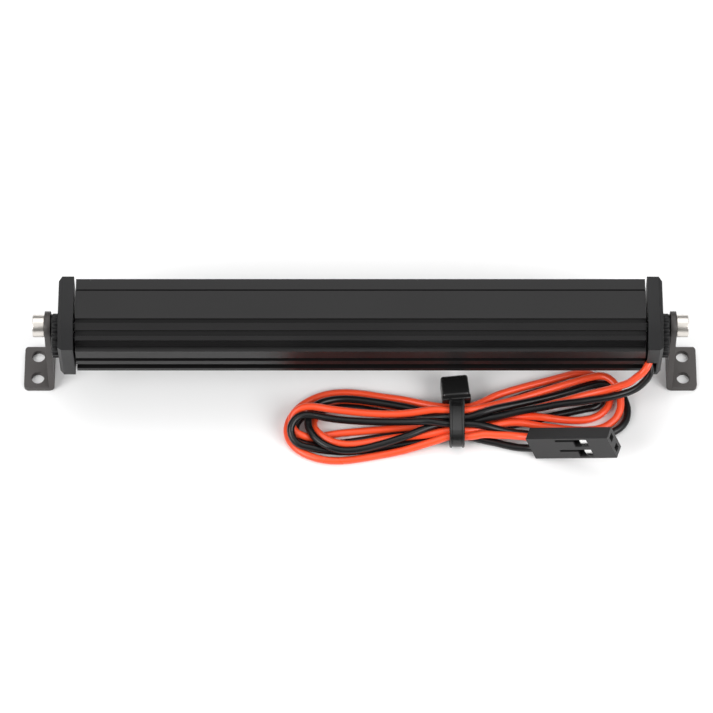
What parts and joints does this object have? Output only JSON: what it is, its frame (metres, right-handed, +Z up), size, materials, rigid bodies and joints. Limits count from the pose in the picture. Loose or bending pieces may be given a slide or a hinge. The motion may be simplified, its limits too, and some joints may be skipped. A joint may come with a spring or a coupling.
{
  "type": "led light bar",
  "caption": "Slim ribbed LED light bar with a clear front lens, tilting on two L-shaped screw-down feet, with a tied two-core lead and plug.",
  "frame": {"origin": "under the middle of the bar, on the surface that the feet stand on", "axes": "+X along the bar, +Y the way the light shines, +Z up"},
  "size_m": [0.1156, 0.0267, 0.022],
  "materials": {
    "anodised": "satin black anodised, fine matt texture",
    "cap_plastic": "moulded matt black",
    "bracket_steel": "satin dark coated steel",
    "nickel": "bright nickel plate",
    "black_steel": "black oxide",
    "board": "white solder mask",
    "phosphor": "yellow phosphor",
    "chrome": "vacuum metallised",
    "lens": "clear acrylic",
    "seal": "matt foam rubber",
    "red_wire": "soft satin insulation, red",
    "black_wire": "soft satin insulation, black",
    "nylon": "semi-gloss black nylon",
    "plug": "moulded satin black",
    "tin": "tin plate"
  },
  "bodies": {
    "lamp": {"housing": "anodised", "end_cap_right": "cap_plastic", "end_cap_left": "cap_plastic", "circuit_board": "board", "reflector": "chrome", "lens_seal": "seal", "lens": "lens", "lead_red": "red_wire", "lead_black": "black_wire", "cord_hank": "red_wire", "tail_red": "red_wire", "tail_black": "black_wire", "tie_strap": "nylon", "tie_head": "nylon", "plug_shell": "plug", "terminal_black": "tin", "terminal_red": "tin", "cap_screw_upper_right": "black_steel", "cap_screw_lower_right": "black_steel", "index_pad_right": "cap_plastic", "washer_right": "black_steel", "pivot_nut_right": "black_steel", "pivot_screw_right": "nickel", "cap_screw_upper_left": "black_steel", "cap_screw_lower_left": "black_steel", "index_pad_left": "cap_plastic", "washer_left": "black_steel", "pivot_nut_left": "black_steel", "pivot_screw_left": "nickel", "led_01": "phosphor", "led_02": "phosphor", "led_03": "phosphor", "led_04": "phosphor", "led_05": "phosphor", "led_06": "phosphor", "led_07": "phosphor", "led_08": "phosphor", "led_09": "phosphor", "led_10": "phosphor", "led_11": "phosphor", "led_12": "phosphor", "led_13": "phosphor", "led_14": "phosphor", "led_15": "phosphor", "led_16": "phosphor", "led_17": "phosphor", "led_18": "phosphor", "led_19": "phosphor", "led_20": "phosphor", "led_21": "phosphor", "led_22": "phosphor", "led_23": "phosphor", "led_24": "phosphor"},
    "bracket_left": {"bracket_left": "bracket_steel"},
    "bracket_right": {"bracket_right": "bracket_steel"}
  },
  "joints": [
    {"name": "tilt_left", "type": "hinge", "parent": "lamp", "child": "bracket_left", "pos_m": [-0.05305, 0.0009, 0.015], "axis": [1, 0, 0], "continuous": true},
    {"name": "tilt_right", "type": "hinge", "parent": "lamp", "child": "bracket_right", "pos_m": [0.05305, 0.0009, 0.015], "axis": [1, 0, 0], "continuous": true}
  ]
}
